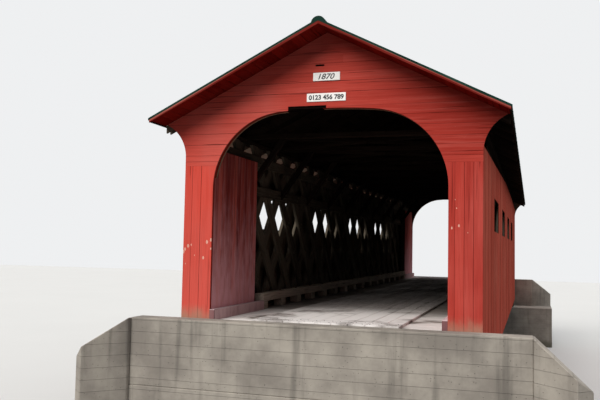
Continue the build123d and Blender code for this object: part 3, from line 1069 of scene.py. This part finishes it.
# The two sides, the two portals, and what both share
for side, way in (("left", -1), ("right", 1)):
    siding(side)
    lattice(side, way)
    curb(side)
    roof_boards(side, way)
    pegs(side, way)
    timbers(side + "_lower_chords", truss_wood, ALONG, length=timber_length)
    chords = timbers(side + "_upper_chords", truss_wood, ALONG, length=timber_length)
    shade_outward(chords, way)
    rafters(side, way)
    nodes[side + "_roof_sheet"].material_slots[0].material = roof_look
nodes["ridge_cap"].material_slots[0].material = roof_look

for end in ("near", "far"):
    portal_boards(end)
    arch_rib(end)

lining()
deck()
deck_spikes()
curb_bolts()
for node in ("nailers", "wall_plates", "rafter_plates"):
    timbers(node, roof_wood_painted_shade, ALONG, length=timber_length)
timbers("eave_boards", roof_wood_painted_shade, ALONG, board_arris, board_length)
rakes()
timbers("floor_beams", truss_wood, RIGHT)
timbers("stringers", truss_wood, ALONG, length=timber_length)
timbers("tie_beams", roof_wood_painted_shade, RIGHT)
timbers("end_posts", truss_wood, UP)
timbers("bed_timbers", truss_wood, RIGHT)
timbers("reveal_studs", truss_wood, UP)
for node in ("through_braces", "half_braces", "knee_braces"):
    timbers(node, roof_wood_painted_shade)
for node in ("abutment_stems", "back_walls", "wing_walls"):
    boards(node + "_cast", [solid(node)], concrete_look, [node], ALONG, concrete_arris)

plate(
    "upper_plate", level=7.405, width=0.50, text="1870", tall=0.70, wide=0.62, slant=0.3, weight=0.003
)
plate(
    "lower_plate",
    level=7.028,
    width=0.725,
    text="0123 456 789",
    tall=0.62,
    wide=0.90,
    slant=0.0,
    weight=0.006,
)


# Floor, light and camera
def floor():
    half = 90.0
    below = -0.001
    shape = bmesh.new()
    corners = ((-half, -half), (half, -half), (half, half), (-half, half))
    shape.faces.new([shape.verts.new((x, y, below)) for x, y in corners])
    mesh = bpy.data.meshes.new("studio_floor")
    shape.to_mesh(mesh)
    look = Look("studio_floor", 0.9)
    grain = look.noise(look.position(), (0.2, 0.2, 0.2), 2.0)
    pale = look.mix(grain, colour(218, 217, 215), colour(223, 222, 220))
    body = look.mix(seen_rays(look.tree), colour(100, 100, 100), pale)
    mesh.materials.append(look.finish(body))
    made = bpy.data.objects.new("studio_floor", mesh)
    bpy.context.collection.objects.link(made)


def world():
    """A soft sky that is strongest overhead, behind a plain pale backdrop."""
    backdrop = bpy.data.worlds.new("studio")
    backdrop.use_nodes = True
    tree = backdrop.node_tree
    place = tree.nodes.new("ShaderNodeTexCoord")
    axes = tree.nodes.new("ShaderNodeSeparateXYZ")
    tree.links.new(place.outputs["Generated"], axes.inputs[0])
    level = tree.nodes.new("ShaderNodeMapRange")
    level.inputs["To Min"].default_value = sky_low
    level.inputs["To Max"].default_value = sky_high
    tree.links.new(axes.outputs["Z"], level.inputs["Value"])
    soft = tree.nodes["Background"]
    soft.inputs["Color"].default_value = sky_tint
    tree.links.new(level.outputs[0], soft.inputs["Strength"])
    pale = tree.nodes.new("ShaderNodeBackground")
    pale.inputs["Color"].default_value = backdrop_tint
    pale.inputs["Strength"].default_value = 1.0
    choose = tree.nodes.new("ShaderNodeMixShader")
    tree.links.new(seen_rays(tree), choose.inputs[0])
    tree.links.new(soft.outputs[0], choose.inputs[1])
    tree.links.new(pale.outputs[0], choose.inputs[2])
    tree.links.new(choose.outputs[0], tree.nodes["World Output"].inputs["Surface"])
    bpy.context.scene.world = backdrop


def sun(name, strength, spread, towards, tint):
    """A distant light of so many degrees across, which stands in the direction given."""
    light = bpy.data.lights.new(name, "SUN")
    light.energy = strength
    light.angle = math.radians(spread)
    light.color = tint
    made = bpy.data.objects.new(name, light)
    made.rotation_euler = (-Vector(towards)).to_track_quat("-Z", "Y").to_euler()
    bpy.context.collection.objects.link(made)


def camera():
    """The photograph's view: turned left and up from the roadway's line, and a little rolled."""
    turn, lift, roll = (math.radians(angle) for angle in camera_angles)
    ahead = Vector((-math.sin(turn) * math.cos(lift), math.cos(turn) * math.cos(lift), math.sin(lift)))
    level = Vector((math.cos(turn), math.sin(turn), 0))
    rise = level.cross(ahead)
    across = math.cos(roll) * level + math.sin(roll) * rise
    top = math.cos(roll) * rise - math.sin(roll) * level
    lens = bpy.data.cameras.new("photo_view")
    lens.lens = camera_lens
    lens.sensor_width = film_width
    lens.clip_end = camera_reach
    made = bpy.data.objects.new("photo_view", lens)
    facing = Matrix((across, top, -ahead)).transposed().to_4x4()
    made.matrix_world = Matrix.Translation(camera_place) @ facing
    bpy.context.collection.objects.link(made)
    bpy.context.scene.camera = made


floor()
world()
sun("key", strength=2.9, spread=42, towards=(-0.28, -0.75, 0.58), tint=(1.0, 0.98, 0.94))
sun("fill", strength=0.95, spread=60, towards=(0.75, 0.1, 0.65), tint=(1.0, 1.0, 1.0))
camera()
bpy.context.scene.view_settings.view_transform = "Standard"
